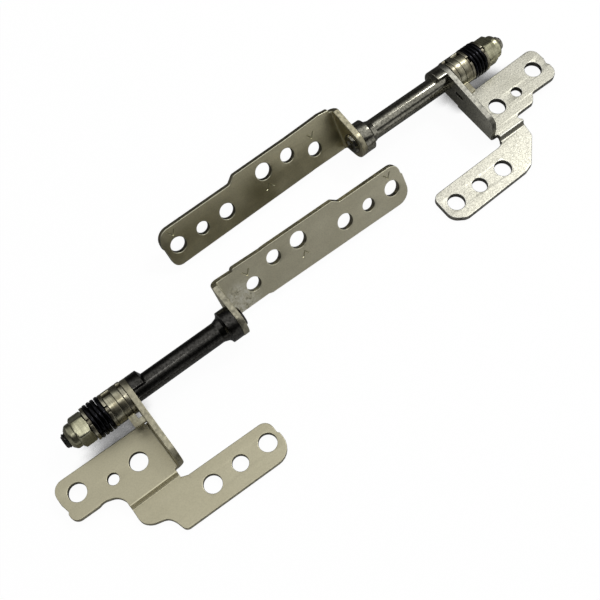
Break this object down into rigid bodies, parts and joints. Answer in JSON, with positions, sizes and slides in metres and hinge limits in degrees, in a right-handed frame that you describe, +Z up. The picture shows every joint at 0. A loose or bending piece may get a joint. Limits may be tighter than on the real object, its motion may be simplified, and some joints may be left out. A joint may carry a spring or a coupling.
{
  "type": "pair of laptop hinges",
  "caption": "Left and right laptop lid hinges: stamped base brackets and display arms joined by friction-clutch shafts with disc springs and lock nuts.",
  "frame": {"origin": "centre of the pair's box, on the surface the base plates lie on", "axes": "+X along both hinge shafts, from the left hinge's nut toward the right hinge's nut; +Y to the laptop's rear; +Z up, out of the base plates"},
  "size_m": [0.1298, 0.0498, 0.0099],
  "materials": {
    "left_base_nickel": "nickel-plated rolled sheet, satin",
    "right_base_nickel": "nickel-plated rolled sheet, bright and finely speckled",
    "left_arm_nickel": "nickel-plated rolled sheet, satin",
    "right_arm_nickel": "nickel-plated rolled sheet, satin",
    "ring_nickel": "nickel-plated, turned edge",
    "cam_nickel": "nickel-plated, polished edge",
    "shaft_black": "black oxide over turned steel",
    "spring_black": "oiled black spring steel",
    "nut_zinc": "pale yellow zinc plate"
  },
  "bodies": {
    "bases": {"left_base_bracket": "left_base_nickel", "left_fixed_cam": "cam_nickel", "right_base_bracket": "right_base_nickel", "right_fixed_cam": "cam_nickel"},
    "left_arm": {"left_display_bracket": "left_arm_nickel", "left_shaft": "shaft_black", "left_friction_washer": "ring_nickel", "left_moving_cam": "cam_nickel", "left_inner_plate": "ring_nickel", "left_spring_1": "spring_black", "left_spring_2": "spring_black", "left_spring_3": "spring_black", "left_spring_4": "spring_black", "left_outer_plate": "ring_nickel", "left_lock_nut": "nut_zinc"},
    "right_arm": {"right_display_bracket": "right_arm_nickel", "right_shaft": "shaft_black", "right_friction_washer": "ring_nickel", "right_moving_cam": "cam_nickel", "right_inner_plate": "ring_nickel", "right_spring_1": "spring_black", "right_spring_2": "spring_black", "right_spring_3": "spring_black", "right_spring_4": "spring_black", "right_outer_plate": "ring_nickel", "right_lock_nut": "nut_zinc"}
  },
  "joints": [
    {"name": "left_lid_hinge", "type": "hinge", "parent": "bases", "child": "left_arm", "pos_m": [-0.04325, 0.00049, 0.0061], "axis": [1, 0, 0], "range_deg": [-10, 125]},
    {"name": "right_lid_hinge", "type": "hinge", "parent": "bases", "child": "right_arm", "pos_m": [0.04325, 0.01649, 0.0061], "axis": [1, 0, 0], "range_deg": [-10, 125]}
  ]
}
